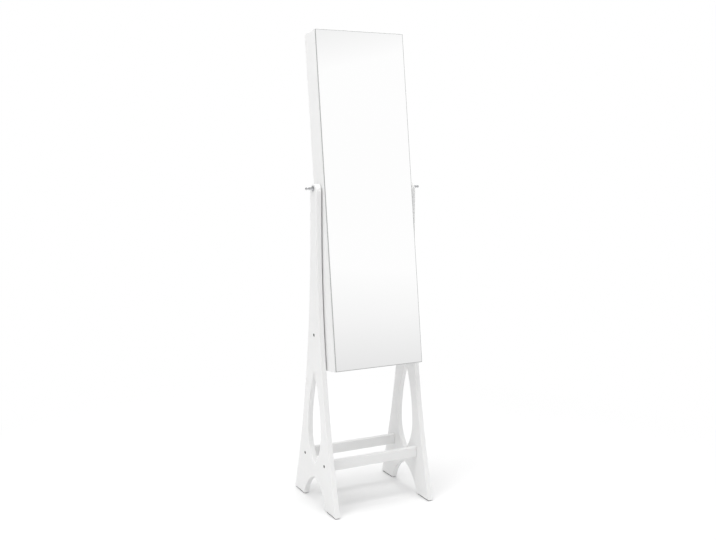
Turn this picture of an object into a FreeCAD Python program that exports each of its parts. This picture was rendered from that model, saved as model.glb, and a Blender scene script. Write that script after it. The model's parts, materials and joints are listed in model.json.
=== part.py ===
"""Standing jewelry mirror cabinet: a tilting mirror-fronted cabinet between two flared side panels.

Millimetres. +X is to the right, -Y to the front and +Z up. The origin is on the floor, in the
middle of the stand. Pieces of the cabinet are drawn upright about the tilt axis (x to the right,
y to the back, z up from the axis) and then leaned back by rest_tilt.
"""
import FreeCAD
import Part
import Sketcher

import math
import os
import re

from FreeCAD import Vector

NODES_FOLDER = "parts"

SIZES = {
    # stand
    "panel_thickness": 18.0,
    "pivot_height": 1057.4,
    "upright_half_width": 25.5,
    "crown_drop": 10.5,
    "flare_start": 930.0,
    "foot_reach": 166.5,
    "pad_height": 3.0,
    "oval_top": 455.0,
    "oval_bottom": 135.0,
    "oval_widest": 245.0,
    "oval_half_width": 51.0,
    "arch_half_width": 86.0,
    "arch_top": 90.0,
    "arch_bulge": 16.0,
    "stretcher_height": 34.0,
    "stretcher_thickness": 18.0,
    "lower_stretcher_level": 151.0,
    "lower_stretcher_reach": 78.0,
    "crossbar_level": 576.5,
    "bolt_radius": 3.0,
    "bolt_head_radius": 5.5,
    "bolt_head_height": 4.0,
    "bolt_length": 60.0,
    "barrel_radius": 5.0,
    "barrel_length": 14.0,
    "barrel_inset": 30.0,
    "stretcher_dowel_radius": 3.0,
    "stretcher_dowel_length": 30.0,
    "stretcher_dowel_depth": 12.0,
    "stretcher_dowel_rise": 11.0,
    "pad_length": 66.0,
    "pad_width": 14.0,
    "pad_inset": 5.0,
    # tilt pivot and knobs
    "rest_tilt": 8.0,
    "stud_radius": 3.0,
    "stud_clearance": 0.05,
    "bush_radius": 7.0,
    "insert_radius": 5.0,
    "spacer_radius": 12.0,
    "running_gap": 0.3,
    "washer_radius": 9.0,
    "washer_thickness": 2.0,
    "knob_length": 26.0,
    "knob_socket_depth": 14.0,
    "knob_base_radius": 6.5,
    "knob_base_length": 2.0,
    "knob_body_radius": 4.9,
    "knob_body_length": 12.5,
    "knob_neck_radius": 2.6,
    "knob_neck_length": 3.0,
    # cabinet carcass
    "cabinet_width": 322.0,
    "side_gap": 4.0,
    "height_above_pivot": 507.4,
    "height_below_pivot": 593.7,
    "mirror_front": 40.6,
    "cabinet_rear": 42.3,
    "board": 12.0,
    "back_thickness": 3.0,
    "lining_thickness": 2.0,
    "fit": 0.1,
    "carcass_dowel_radius": 4.0,
    "carcass_dowel_length": 28.0,
    "side_hole_depth": 9.0,
    "carcass_dowel_reach": 22.0,
    # inside fittings
    "shelf_thickness": 9.0,
    "shelf_depth": 54.0,
    "shelf_one_level": 120.0,
    "shelf_three_level": -215.0,
    "shelf_four_level": -385.0,
    "shelf_dowel_radius": 2.5,
    "shelf_dowel_length": 16.0,
    "shelf_dowel_depth": 7.0,
    "shelf_dowel_reach": 15.0,
    "lip_height": 24.0,
    "lip_thickness": 5.0,
    "hook_rail_end_gap": 4.0,
    "hook_rail_height": 26.0,
    "hook_rail_thickness": 10.0,
    "hook_rail_drop": 26.0,
    "peg_radius": 1.8,
    "peg_reach": 24.0,
    "peg_root": 8.0,
    "peg_ball_radius": 3.6,
    "peg_collar_radius": 4.5,
    "peg_collar_thickness": 1.5,
    "peg_pitch": 30.0,
    "roll_end_gap": 4.0,
    "roll_height": 25.0,
    "roll_depth": 24.0,
    "roll_gap": 0.8,
    "roll_cheek": 8.4,
    "roll_end_draw": 0.82,
    "roll_shoulder_draw": 0.95,
    "roll_shoulder_inset": 3.0,
    "roll_end_round": 9.0,
    "earring_bar_end_gap": 6.0,
    "earring_bar_height": 13.0,
    "earring_bar_thickness": 4.0,
    "earring_bar_pitch": 27.0,
    "earring_post_width": 10.0,
    "earring_post_depth": 13.0,
    "earring_post_inset": 8.0,
    "bracelet_bar_radius": 8.0,
    "bracelet_bracket_radius": 12.0,
    "bracelet_bracket_length": 10.0,
    "bracelet_bar_drop": 40.0,
    # door
    "door_thickness": 9.0,
    "adhesive_thickness": 0.5,
    "adhesive_inset": 14.0,
    "adhesive_width": 25.0,
    "mirror_thickness": 3.0,
    "mirror_inset": 1.0,
    "door_gap": 0.5,
    "hinge_height": 40.0,
    "hinge_inset": 75.0,
    "leaf_width": 11.0,
    "leaf_thickness": 1.2,
    "leaf_gap": 0.2,
    "knuckle_radius": 2.4,
    "knuckle_gap": 0.3,
    "knuckle_side_gap": 0.2,
    "pin_radius": 1.2,
    "pin_clearance": 0.05,
    "pin_head_radius": 2.2,
    "pin_head_height": 1.0,
    "screw_head_radius": 2.4,
    "screw_radius": 1.2,
    "screw_length": 7.5,
    "screw_pitch": 26.0,
    "screw_clearance": 0.05,
    "catch_width": 40.0,
    "catch_height": 12.0,
    "catch_depth": 16.0,
    "catch_offset": -95.0,
    "catch_setback": 1.6,
    "magnet_width": 28.0,
    "magnet_height": 7.0,
    "magnet_reach": 0.6,
    "strike_width": 36.0,
    "strike_height": 10.0,
    "strike_thickness": 1.2,
}

SHELF_ROLLS = 6
PEG_COUNT = 9
EARRING_BARS = 4
KNUCKLES = 5

# Named distances worked out from the sizes above, in the cabinet's upright directions.
DERIVED = {
    "side_outer": "cabinet_width / 2",
    "side_inner": "cabinet_width / 2 - board",
    "inner_face": "cabinet_width / 2 + side_gap",
    "stand_half": "cabinet_width / 2 + side_gap + panel_thickness",
    "inner_top": "height_above_pivot - board",
    "inner_bottom": "0 - height_below_pivot + board",
    "door_back": "0 - mirror_front + mirror_thickness + adhesive_thickness + door_thickness",
    "box_front": "door_back + door_gap",
    "hinge_y": "door_back + door_gap / 2",
    "hinge_x": "side_outer + knuckle_side_gap + knuckle_radius",
    "lining_face": "cabinet_rear - back_thickness - lining_thickness",
    "shelf_two_level": "shelf_one_level - shelf_thickness - %d * (roll_height + roll_gap) - roll_gap"
    % SHELF_ROLLS,
    "hook_level": "inner_top - hook_rail_drop - hook_rail_height / 2",
    "peg_root_face": "lining_face - hook_rail_thickness",
    "earring_level": "(shelf_two_level - shelf_thickness + shelf_three_level) / 2",
    "earring_face": "lining_face - earring_post_depth",
    "earring_bar_half": "side_inner - earring_bar_end_gap",
    "bracelet_level": "shelf_three_level - shelf_thickness - bracelet_bar_drop",
    "bracelet_y": "(box_front + lining_face) / 2",
}

doc = FreeCAD.newDocument("jewelry_mirror_cabinet")
sheet = doc.addObject("Spreadsheet::Sheet", "Sizes")
for row, (name, size) in enumerate(SIZES.items(), start=1):
    sheet.set("A%d" % row, name)
    sheet.set("B%d" % row, str(size))
    sheet.setAlias("B%d" % row, name)
doc.recompute()


def size(name):
    """A driving size, read from the sheet."""
    return float(sheet.get(name))


def link(formula):
    """Turns a formula in size names into an expression that refers to the sheet's cells."""
    def cell(match):
        word = match.group()
        if word in DERIVED:
            return "(%s)" % link(DERIVED[word])
        if word in SIZES:
            return "Sizes." + word
        return word
    return re.sub(r"[A-Za-z_]\w*", cell, str(formula))


def bind(thing, **formulas):
    for name, formula in formulas.items():
        thing.setExpression(name, link(formula))


# ---------------------------------------------------------------- placing

TURNS = {
    "none": ("0; 0; 1", 0),
    "x": ("0; 1; 0", 90),
    "-x": ("0; 1; 0", -90),
    "y": ("1; 0; 0", -90),
    "-y": ("1; 0; 0", 90),
    "round": ("0; 0; 1", 180),
}
CABINET = (
    "create(<<placement>>; create(<<vector>>; 0; 0; pivot_height); "
    "create(<<rotation>>; create(<<vector>>; 1; 0; 0); 0 - rest_tilt))"
)


def spot(at, turn):
    """The expression of a place: a point, and a quarter or half turn about one axis."""
    axis, angle = TURNS[turn]
    point = "; ".join(str(value) for value in at)
    return ("create(<<placement>>; create(<<vector>>; %s); "
            "create(<<rotation>>; create(<<vector>>; %s); %s))" % (point, axis, angle))


local_spots = {}
nodes = []


def place(thing, at=(0, 0, 0), turn="none"):
    local_spots[thing.Name] = spot(at, turn)
    bind(thing, Placement=local_spots[thing.Name])
    return thing


def keep(thing, node, carrier=None):
    """Names a finished sub-part and, where it belongs to the cabinet, leans it back with it."""
    if carrier:
        own = local_spots.get(thing.Name)
        bind(thing, Placement=carrier + " * " + own if own else carrier)
    thing.Label = node
    nodes.append(thing)
    return thing


# ---------------------------------------------------------------- shapes

def box(size_x, size_y, size_z, at):
    """A box by its three sizes and its lowest corner."""
    block = doc.addObject("Part::Box", "Block")
    bind(block, Length=size_x, Width=size_y, Height=size_z)
    return place(block, at)


def mid_box(size_x, size_y, size_z, centre):
    """A box by its three sizes and its centre."""
    low = ["(%s) - (%s) / 2" % (c, s) for c, s in zip(centre, (size_x, size_y, size_z))]
    return box(size_x, size_y, size_z, low)


def rod(radius, length, at, turn="none"):
    """A round bar that starts at a point and runs along the turned axis."""
    bar = doc.addObject("Part::Cylinder", "Rod")
    bind(bar, Radius=radius, Height=length)
    return place(bar, at, turn)


def cone(radius_start, radius_end, length, at, turn):
    taper = doc.addObject("Part::Cone", "Taper")
    bind(taper, Radius1=radius_start, Radius2=radius_end, Height=length)
    return place(taper, at, turn)


def ball(radius, at):
    sphere = doc.addObject("Part::Sphere", "Ball")
    bind(sphere, Radius=radius)
    return place(sphere, at)


def group(things):
    """Separate solids kept side by side in one shape."""
    if len(things) == 1:
        return things[0]
    together = doc.addObject("Part::Compound", "Group")
    together.Links = things
    return together


def fuse(things):
    joined = doc.addObject("Part::MultiFuse", "Joined")
    joined.Shapes = things
    joined.Refine = True
    return joined


def cut(base, tools):
    hollowed = doc.addObject("Part::Cut", "Hollowed")
    hollowed.Base = base
    hollowed.Tool = group(tools)
    hollowed.Refine = False
    return hollowed


def body(name):
    return doc.addObject("PartDesign::Body", name)


def plane(part_body, role):
    return next(item for item in part_body.Origin.OriginFeatures if item.Role == role)


def sketch_on(part_body, role, name):
    sketch = part_body.newObject("Sketcher::SketchObject", name)
    sketch.AttachmentSupport = [(plane(part_body, role), "")]
    sketch.MapMode = "FlatFace"
    return sketch


def arc_between(start, end, centre):
    """The arc of a circle that runs anticlockwise from start to end."""
    radius = math.dist(start, centre)
    first = math.atan2(start[1] - centre[1], start[0] - centre[0])
    last = math.atan2(end[1] - centre[1], end[0] - centre[0])
    if last < first:
        last += 2 * math.pi
    circle = Part.Circle(Vector(centre[0], centre[1], 0), Vector(0, 0, 1), radius)
    return Part.ArcOfCircle(circle, first, last)


def segment(start, end):
    return Part.LineSegment(Vector(start[0], start[1], 0), Vector(end[0], end[1], 0))


def hold(sketch, kind, *geometry, formula=None, name=None):
    """Adds a constraint on named points and axes, tied to the sheet where a formula is given."""
    numbers = {START: 1, END: 2, CENTRE: 3, X_AXIS: -1, Y_AXIS: -2}
    held = [numbers.get(item, item) for item in geometry]
    number = sketch.addConstraint(Sketcher.Constraint(kind, *held))
    if formula:
        sketch.renameConstraint(number, name)
        sketch.setExpression("Constraints." + name, link(formula))
    return number


START, END, CENTRE = "start", "end", "centre"
X_AXIS, Y_AXIS = "x axis", "y axis"


# ---------------------------------------------------------------- stand

def outline_sketch(part_body):
    """The flared panel: a round top, hollow-curved sides and an arched foot."""
    half = size("upright_half_width")
    crown_level = size("pivot_height") - size("crown_drop")
    start = size("flare_start")
    foot = size("foot_reach")
    floor = size("pad_height")
    arch = size("arch_half_width")
    top = size("arch_top")
    bulge = size("arch_bulge")
    drop = start - floor
    spread = foot - half
    flare = (drop ** 2 + spread ** 2) / (2 * spread)
    chord = math.hypot(arch, top - floor)
    arch_radius = (chord ** 2 / 4 + bulge ** 2) / (2 * bulge)
    rise = arch_radius - bulge
    lean = (arch / chord, (top - floor) / chord)
    middle = (arch / 2, (top + floor) / 2)
    right = (middle[0] - lean[1] * rise, middle[1] - lean[0] * rise)
    sketch = sketch_on(part_body, "YZ_Plane", "Outline")
    sketch.addGeometry([
        arc_between((half, crown_level), (-half, crown_level), (0, crown_level)),
        segment((-half, crown_level), (-half, start)),
        arc_between((-foot, floor), (-half, start), (-half - flare, start)),
        segment((-foot, floor), (-arch, floor)),
        arc_between((0, top), (-arch, floor), (-right[0], right[1])),
        arc_between((arch, floor), (0, top), right),
        segment((arch, floor), (foot, floor)),
        arc_between((half, start), (foot, floor), (half + flare, start)),
        segment((half, start), (half, crown_level)),
    ])
    crown, left_side, left_flare, left_foot, left_arch, right_arch, right_foot, right_flare, \
        right_side = range(9)
    hold(sketch, "Tangent", crown, END, left_side, START)
    hold(sketch, "Tangent", left_side, END, left_flare, END)
    hold(sketch, "Coincident", left_flare, START, left_foot, START)
    hold(sketch, "Coincident", left_foot, END, left_arch, END)
    hold(sketch, "Coincident", left_arch, START, right_arch, END)
    hold(sketch, "Coincident", right_arch, START, right_foot, START)
    hold(sketch, "Coincident", right_foot, END, right_flare, END)
    hold(sketch, "Tangent", right_flare, START, right_side, START)
    hold(sketch, "Tangent", right_side, END, crown, START)
    hold(sketch, "PointOnObject", crown, CENTRE, Y_AXIS)
    hold(sketch, "PointOnObject", left_arch, START, Y_AXIS)
    hold(sketch, "Vertical", left_side)
    hold(sketch, "Horizontal", right_foot)
    hold(sketch, "Symmetric", left_side, END, right_side, START, Y_AXIS)
    hold(sketch, "Symmetric", left_foot, START, right_foot, END, Y_AXIS)
    hold(sketch, "Symmetric", left_foot, END, right_foot, START, Y_AXIS)
    hold(sketch, "Equal", left_arch, right_arch)
    hold(sketch, "Radius", crown, half, formula="upright_half_width", name="crown_radius")
    hold(sketch, "DistanceY", crown, CENTRE, crown_level, name="crown_level",
         formula="pivot_height - crown_drop")
    hold(sketch, "DistanceY", right_side, START, start, formula="flare_start", name="flare_level")
    hold(sketch, "DistanceX", right_foot, END, foot, formula="foot_reach", name="toe")
    hold(sketch, "DistanceY", right_foot, END, floor, formula="pad_height", name="sole")
    hold(sketch, "DistanceX", right_foot, START, arch, formula="arch_half_width", name="heel")
    hold(sketch, "DistanceY", right_arch, END, top, formula="arch_top", name="arch_level")
    span = "(arch_half_width ^ 2 + (arch_top - pad_height) ^ 2)"
    hold(sketch, "Radius", right_arch, arch_radius, name="arch_radius",
         formula=span + " / (8 * arch_bulge) + arch_bulge / 2")
    return sketch


def oval_sketch(part_body):
    """The pointed oval window between the legs: widest low down, with a long point at the top."""
    top = size("oval_top")
    bottom = size("oval_bottom")
    widest = size("oval_widest")
    half = size("oval_half_width")
    upper = ((top - widest) ** 2 + half ** 2) / (2 * half)
    lower = ((widest - bottom) ** 2 + half ** 2) / (2 * half)
    sketch = sketch_on(part_body, "YZ_Plane", "Window")
    sketch.addGeometry([
        arc_between((half, widest), (0, top), (half - upper, widest)),
        arc_between((0, top), (-half, widest), (upper - half, widest)),
        arc_between((-half, widest), (0, bottom), (lower - half, widest)),
        arc_between((0, bottom), (half, widest), (half - lower, widest)),
    ])
    for arc in range(4):
        kind = "Tangent" if arc % 2 else "Coincident"
        hold(sketch, kind, arc, END, (arc + 1) % 4, START)
    hold(sketch, "PointOnObject", 0, END, Y_AXIS)
    hold(sketch, "PointOnObject", 2, END, Y_AXIS)
    hold(sketch, "Symmetric", 1, END, 0, START, Y_AXIS)
    hold(sketch, "DistanceX", 0, START, half, formula="oval_half_width", name="half_width")
    hold(sketch, "DistanceY", 0, START, widest, formula="oval_widest", name="widest_level")
    hold(sketch, "DistanceY", 0, END, top, formula="oval_top", name="top_level")
    hold(sketch, "DistanceY", 2, END, bottom, formula="oval_bottom", name="bottom_level")
    hold(sketch, "Radius", 0, upper, name="upper_radius",
         formula="((oval_top - oval_widest) ^ 2 + oval_half_width ^ 2) / (2 * oval_half_width)")
    hold(sketch, "Equal", 0, 1)
    return sketch


STRETCHERS = {
    "lower_stretcher_front": ("0 - lower_stretcher_reach", "lower_stretcher_level"),
    "lower_stretcher_rear": ("lower_stretcher_reach", "lower_stretcher_level"),
    "upper_crossbar": ("0", "crossbar_level"),
}
SIDES = {"left": ("0 - stand_half", "x", "none"), "right": ("stand_half", "-x", "round")}


def side_panel(side):
    outer, inward, turn = SIDES[side]
    panel = body("SidePanel")
    pad = panel.newObject("PartDesign::Pad", "Board")
    pad.Profile = outline_sketch(panel)
    bind(pad, Length="panel_thickness")
    window = panel.newObject("PartDesign::Pocket", "Opening")
    window.Profile = oval_sketch(panel)
    window.Reversed = True
    bind(window, Length="panel_thickness")
    place(panel, (outer, 0, 0), turn)
    holes = [rod("bush_radius + fit", "panel_thickness", (outer, 0, "pivot_height"), inward)]
    step = "+" if side == "left" else "-"
    for reach, level in STRETCHERS.values():
        dowel_level = "%s + stretcher_dowel_rise" % level
        dowel_mouth = "%s %s (panel_thickness - stretcher_dowel_depth)" % (outer, step)
        holes.append(rod("bolt_head_radius + fit", "bolt_head_height", (outer, reach, level), inward))
        holes.append(rod("bolt_radius + fit", "panel_thickness", (outer, reach, level), inward))
        holes.append(rod("stretcher_dowel_radius + fit", "stretcher_dowel_depth",
                         (dowel_mouth, reach, dowel_level), inward))
    keep(cut(panel, holes), "side_panel_" + side)


def stretcher(node):
    reach, level = STRETCHERS[node]
    rail = mid_box("2 * inner_face", "stretcher_thickness", "stretcher_height", (0, reach, level))
    holes = []
    for side in SIDES:
        outer, inward, _ = SIDES[side]
        sign = "-" if side == "left" else "+"
        face = "0 %s inner_face" % sign
        barrel_x = "0 %s (inner_face - barrel_inset)" % sign
        dowel_level = "%s + stretcher_dowel_rise" % level
        holes.append(rod("bolt_radius + fit", "bolt_length - panel_thickness + bolt_head_height",
                         (face, reach, level), inward))
        holes.append(rod("barrel_radius + fit", "barrel_length + fit",
                         (barrel_x, "%s - barrel_length / 2" % reach, level), "y"))
        holes.append(rod("stretcher_dowel_radius + fit",
                         "stretcher_dowel_length - stretcher_dowel_depth + fit",
                         (face, reach, dowel_level), inward))
    keep(cut(rail, holes), node)


def stand_fasteners():
    bolts = []
    nuts = []
    dowels = []
    for reach, level in STRETCHERS.values():
        for side in SIDES:
            outer, inward, _ = SIDES[side]
            sign = "-" if side == "left" else "+"
            step = "+" if side == "left" else "-"
            head = rod("bolt_head_radius", "bolt_head_height", (outer, reach, level), inward)
            shank = rod("bolt_radius", "bolt_length", (outer, reach, level), inward)
            bolts.append(fuse([head, shank]))
            barrel_x = "0 %s (inner_face - barrel_inset)" % sign
            nut = rod("barrel_radius", "barrel_length",
                      (barrel_x, "%s - barrel_length / 2" % reach, level), "y")
            bore = rod("bolt_radius", "barrel_inset + 2 * barrel_radius",
                       ("0 %s inner_face" % sign, reach, level), inward)
            nuts.append(cut(nut, [bore]))
            dowel_mouth = "%s %s (panel_thickness - stretcher_dowel_depth)" % (outer, step)
            dowels.append(rod("stretcher_dowel_radius", "stretcher_dowel_length",
                              (dowel_mouth, reach, "%s + stretcher_dowel_rise" % level), inward))
    keep(group(bolts), "stretcher_bolts")
    keep(group(nuts), "barrel_nuts")
    keep(group(dowels), "stretcher_dowels")


def foot_pads():
    pads = []
    for side_x in ("0 - (stand_half - panel_thickness / 2)", "stand_half - panel_thickness / 2"):
        for way in (-1, 1):
            middle = "%d * (foot_reach - pad_inset - pad_length / 2)" % way
            pads.append(mid_box("pad_width", "pad_length", "pad_height",
                                (side_x, middle, "pad_height / 2")))
    keep(group(pads), "foot_pads")


def pivot_bushes():
    bushes = []
    for side in SIDES:
        outer, inward, _ = SIDES[side]
        start = (outer, 0, "pivot_height")
        bore = rod("stud_radius + stud_clearance", "panel_thickness", start, inward)
        bushes.append(cut(rod("bush_radius", "panel_thickness", start, inward), [bore]))
    keep(group(bushes), "pivot_bushes")


# ---------------------------------------------------------------- tilt knobs

def knob_profile(part_body):
    """Half of the turned knob in section: a base, a slim body, a neck and a ball end."""
    base = size("knob_base_radius")
    base_end = size("knob_base_length")
    slim = size("knob_body_radius")
    slim_end = size("knob_body_length")
    neck = size("knob_neck_radius")
    neck_start = slim_end + slim - neck
    neck_end = neck_start + size("knob_neck_length")
    tip = size("knob_length")
    ball_radius = ((tip - neck_end) ** 2 + neck ** 2) / (2 * (tip - neck_end))
    sketch = sketch_on(part_body, "XY_Plane", "Profile")
    points = [(0, 0), (0, base), (base_end, base), (base_end + base - slim, slim),
              (slim_end, slim), (neck_start, neck), (neck_end, neck)]
    lines = [segment(a, b) for a, b in zip(points, points[1:])]
    lines.append(arc_between((tip, 0), (neck_end, neck), (tip - ball_radius, 0)))
    lines.append(segment((tip, 0), (0, 0)))
    sketch.addGeometry(lines)
    wall, base_top, shoulder, side, taper, neck_top, ball_end, axis = (0, 1, 2, 3, 4, 5, 6, 7)
    for number in (wall, base_top, shoulder, side, taper):
        hold(sketch, "Coincident", number, END, number + 1, START)
    hold(sketch, "Coincident", neck_top, END, ball_end, END)
    hold(sketch, "Coincident", ball_end, START, axis, START)
    hold(sketch, "Coincident", axis, END, wall, START)
    hold(sketch, "Coincident", wall, START, X_AXIS, START)
    hold(sketch, "PointOnObject", axis, START, X_AXIS)
    hold(sketch, "PointOnObject", ball_end, CENTRE, X_AXIS)
    hold(sketch, "Vertical", wall)
    for number in (base_top, side, neck_top):
        hold(sketch, "Horizontal", number)
    hold(sketch, "DistanceY", base_top, END, base, formula="knob_base_radius", name="base_radius")
    hold(sketch, "DistanceX", base_top, END, base_end, formula="knob_base_length", name="base_end")
    hold(sketch, "DistanceY", side, START, slim, formula="knob_body_radius", name="body_radius")
    hold(sketch, "DistanceX", side, START, base_end + base - slim, name="body_start",
         formula="knob_base_length + knob_base_radius - knob_body_radius")
    hold(sketch, "DistanceX", side, END, slim_end, formula="knob_body_length", name="body_end")
    hold(sketch, "DistanceY", neck_top, START, neck, formula="knob_neck_radius", name="neck_radius")
    hold(sketch, "DistanceX", neck_top, START, neck_start, name="neck_start",
         formula="knob_body_length + knob_body_radius - knob_neck_radius")
    hold(sketch, "DistanceX", neck_top, END, neck_end, name="neck_end",
         formula="knob_body_length + knob_body_radius - knob_neck_radius + knob_neck_length")
    hold(sketch, "DistanceX", axis, START, tip, formula="knob_length", name="tip")
    return sketch


def tilt_knob(side):
    """One knob with its washer and stud; it is set out from the side panel's outer face."""
    way = "0 -" if side == "left" else "0 +"
    outward = "-x" if side == "left" else "x"
    turn = "round" if side == "left" else "none"
    washer_x = "%s (stand_half + running_gap)" % way
    knob_x = "%s (stand_half + running_gap + washer_thickness)" % way
    stud_x = "%s (side_inner + running_gap)" % way
    level = "pivot_height"
    grip = body("Knob")
    turned = grip.newObject("PartDesign::Revolution", "Turned")
    turned.Profile = knob_profile(grip)
    turned.ReferenceAxis = (turned.Profile[0], ["H_Axis"])
    turned.Angle = 360
    place(grip, (knob_x, 0, level), turn)
    socket = rod("stud_radius", "knob_socket_depth", (knob_x, 0, level), outward)
    keep(cut(grip, [socket]), "tilt_knob_" + side)
    washer = rod("washer_radius", "washer_thickness", (washer_x, 0, level), outward)
    bore = rod("stud_radius", "washer_thickness", (washer_x, 0, level), outward)
    keep(cut(washer, [bore]), "knob_washer_" + side)
    reach = "stand_half + washer_thickness + knob_socket_depth - side_inner"
    keep(rod("stud_radius", reach, (stud_x, 0, level), outward), "tilt_stud_" + side)


def pivot_seats():
    """Threaded inserts in the cabinet's sides and the washers that fill the side gap."""
    inserts = []
    spacers = []
    for way, outward in (("0 -", "-x"), ("0 +", "x")):
        seat = ("%s side_inner" % way, 0, 0)
        face = ("%s side_outer" % way, 0, 0)
        gap = "inner_face - side_outer - running_gap"
        bore = rod("stud_radius + stud_clearance", "board", seat, outward)
        inserts.append(cut(rod("insert_radius", "board", seat, outward), [bore]))
        hole = rod("stud_radius + stud_clearance", gap, face, outward)
        spacers.append(cut(rod("spacer_radius", gap, face, outward), [hole]))
    keep(group(inserts), "pivot_inserts", CABINET)
    keep(group(spacers), "pivot_spacers", CABINET)


# ---------------------------------------------------------------- cabinet carcass

SHELVES = {
    "shelf_one": "shelf_one_level",
    "shelf_two": "shelf_two_level",
    "shelf_three": "shelf_three_level",
    "shelf_four": "shelf_four_level",
}
ENDS = {
    "cabinet_top": "inner_top + board / 2",
    "cabinet_bottom": "inner_bottom - board / 2",
}
CARCASS_MIDDLE = "(box_front + cabinet_rear) / 2"
SHELF_MIDDLE = "lining_face - shelf_depth / 2"


def dowel_set(radius, length, depth, levels, middle, reach):
    """Dowels from each cabinet side into the boards between them, at front and back."""
    dowels = []
    for level in levels:
        for way in ("-", "+"):
            for side, turn in (("0 -", "x"), ("0 +", "-x")):
                start = "%s (side_inner + %s)" % (side, depth)
                at = (start, "%s %s %s" % (middle, way, reach), level)
                dowels.append(rod(radius, length, at, turn))
    return dowels


def carcass_dowels(clearance):
    levels = list(ENDS.values())
    return dowel_set("carcass_dowel_radius + %s" % clearance, "carcass_dowel_length + %s" % clearance,
                     "side_hole_depth", levels, CARCASS_MIDDLE, "carcass_dowel_reach")


def shelf_dowels(clearance):
    levels = ["%s - shelf_thickness / 2" % level for level in SHELVES.values()]
    return dowel_set("shelf_dowel_radius + %s" % clearance, "shelf_dowel_length + %s" % clearance,
                     "shelf_dowel_depth", levels, SHELF_MIDDLE, "shelf_dowel_reach")


def screw(at, turn, clearance=0):
    """A small countersunk screw, or with a clearance the space that it needs."""
    head = cone("screw_head_radius + %s" % clearance, "screw_radius + %s" % clearance,
                "leaf_thickness", at, turn)
    shank = rod("screw_radius + %s" % clearance, "screw_length + %s" % clearance, at, turn)
    return fuse([head, shank])


def hinge_levels():
    low = "hinge_inset - height_below_pivot"
    high = "height_above_pivot - hinge_inset"
    return [low, "(%s + %s) / 2" % (low, high), high]


def hinge_mortises(carrier):
    """The shallow seats of the hinge leaves in a board, and the pilot holes of their screws."""
    tools = []
    for level in hinge_levels():
        face = "box_front" if carrier == "cabinet" else "door_back"
        depth = "leaf_thickness + leaf_gap / 2 - door_gap / 2"
        low_y = face if carrier == "cabinet" else "%s - (%s)" % (face, depth)
        seat = box("leaf_width", depth, "hinge_height",
                   ("side_outer - leaf_width", low_y, "%s - hinge_height / 2" % level))
        tools.append(seat)
        tools += hinge_screws(carrier, level, "screw_clearance")
    return tools


def hinge_screws(carrier, level, clearance):
    """Two countersunk screws of one leaf, or with a clearance the space that they need."""
    screws = []
    turn = "y" if carrier == "cabinet" else "-y"
    sign = "+" if carrier == "cabinet" else "-"
    face = "hinge_y %s leaf_gap / 2" % sign
    for way in ("-", "+"):
        at = ("side_outer - leaf_width / 2", face, "%s %s screw_pitch / 2" % (level, way))
        screws.append(screw(at, turn, clearance))
    return screws


def cabinet_sides():
    for side, low_x in (("left", "0 - side_outer"), ("right", "side_inner")):
        slab = box("board", "cabinet_rear - box_front", "height_above_pivot + height_below_pivot",
                   (low_x, "box_front", "0 - height_below_pivot"))
        hole = rod("insert_radius + fit", "board", (low_x, 0, 0), "x")
        tools = [hole] + carcass_dowels("fit") + shelf_dowels("fit")
        if side == "right":
            tools += hinge_mortises("cabinet")
        keep(cut(slab, tools), "cabinet_side_" + side, CABINET)


def cabinet_ends():
    for node, level in ENDS.items():
        slab = mid_box("2 * side_inner", "cabinet_rear - box_front", "board", (0, CARCASS_MIDDLE, level))
        keep(cut(slab, carcass_dowels("fit")), node, CABINET)


def backs():
    middle = "(inner_top + inner_bottom) / 2"
    height = "inner_top - inner_bottom"
    back_y = "cabinet_rear - back_thickness / 2"
    keep(mid_box("2 * side_inner", "back_thickness", height, (0, back_y, middle)), "cabinet_back", CABINET)
    lining_y = "cabinet_rear - back_thickness - lining_thickness / 2"
    keep(mid_box("2 * side_inner", "lining_thickness", height, (0, lining_y, middle)),
         "back_lining", CABINET)


def shelves():
    for node, level in SHELVES.items():
        slab = mid_box("2 * side_inner", "shelf_depth", "shelf_thickness",
                       (0, SHELF_MIDDLE, "%s - shelf_thickness / 2" % level))
        keep(cut(slab, shelf_dowels("fit")), node, CABINET)
    lips = []
    for level in SHELVES.values():
        lips.append(mid_box("2 * side_inner", "lip_thickness", "lip_height + shelf_thickness",
                            (0, "lining_face - shelf_depth - lip_thickness / 2",
                             "%s + (lip_height - shelf_thickness) / 2" % level)))
    lips.append(mid_box("2 * side_inner", "lip_thickness", "lip_height",
                        (0, "lining_face - shelf_depth - lip_thickness / 2",
                         "inner_bottom + lip_height / 2")))
    keep(group(lips), "shelf_lips", CABINET)
    keep(group(carcass_dowels(0)), "carcass_dowels", CABINET)
    keep(group(shelf_dowels(0)), "shelf_dowels", CABINET)


# ---------------------------------------------------------------- inside fittings

def peg_places():
    first = -(PEG_COUNT - 1) / 2
    return ["%s * peg_pitch" % (first + number) for number in range(PEG_COUNT)]


def necklace_hanger():
    rail = mid_box("2 * (side_inner - hook_rail_end_gap)", "hook_rail_thickness", "hook_rail_height",
                   (0, "lining_face - hook_rail_thickness / 2", "hook_level"))
    holes = []
    pegs = []
    for across in peg_places():
        root = (across, "peg_root_face + peg_root", "hook_level")
        face = (across, "peg_root_face", "hook_level")
        tip = (across, "peg_root_face - peg_reach", "hook_level")
        holes.append(rod("peg_radius + fit", "peg_root + fit", face, "y"))
        shaft = rod("peg_radius", "peg_root + peg_reach", root, "-y")
        collar = rod("peg_collar_radius", "peg_collar_thickness", face, "-y")
        pegs.append(fuse([shaft, collar, ball("peg_ball_radius", tip)]))
    keep(cut(rail, holes), "hook_rail", CABINET)
    keep(group(pegs), "necklace_pegs", CABINET)


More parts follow.
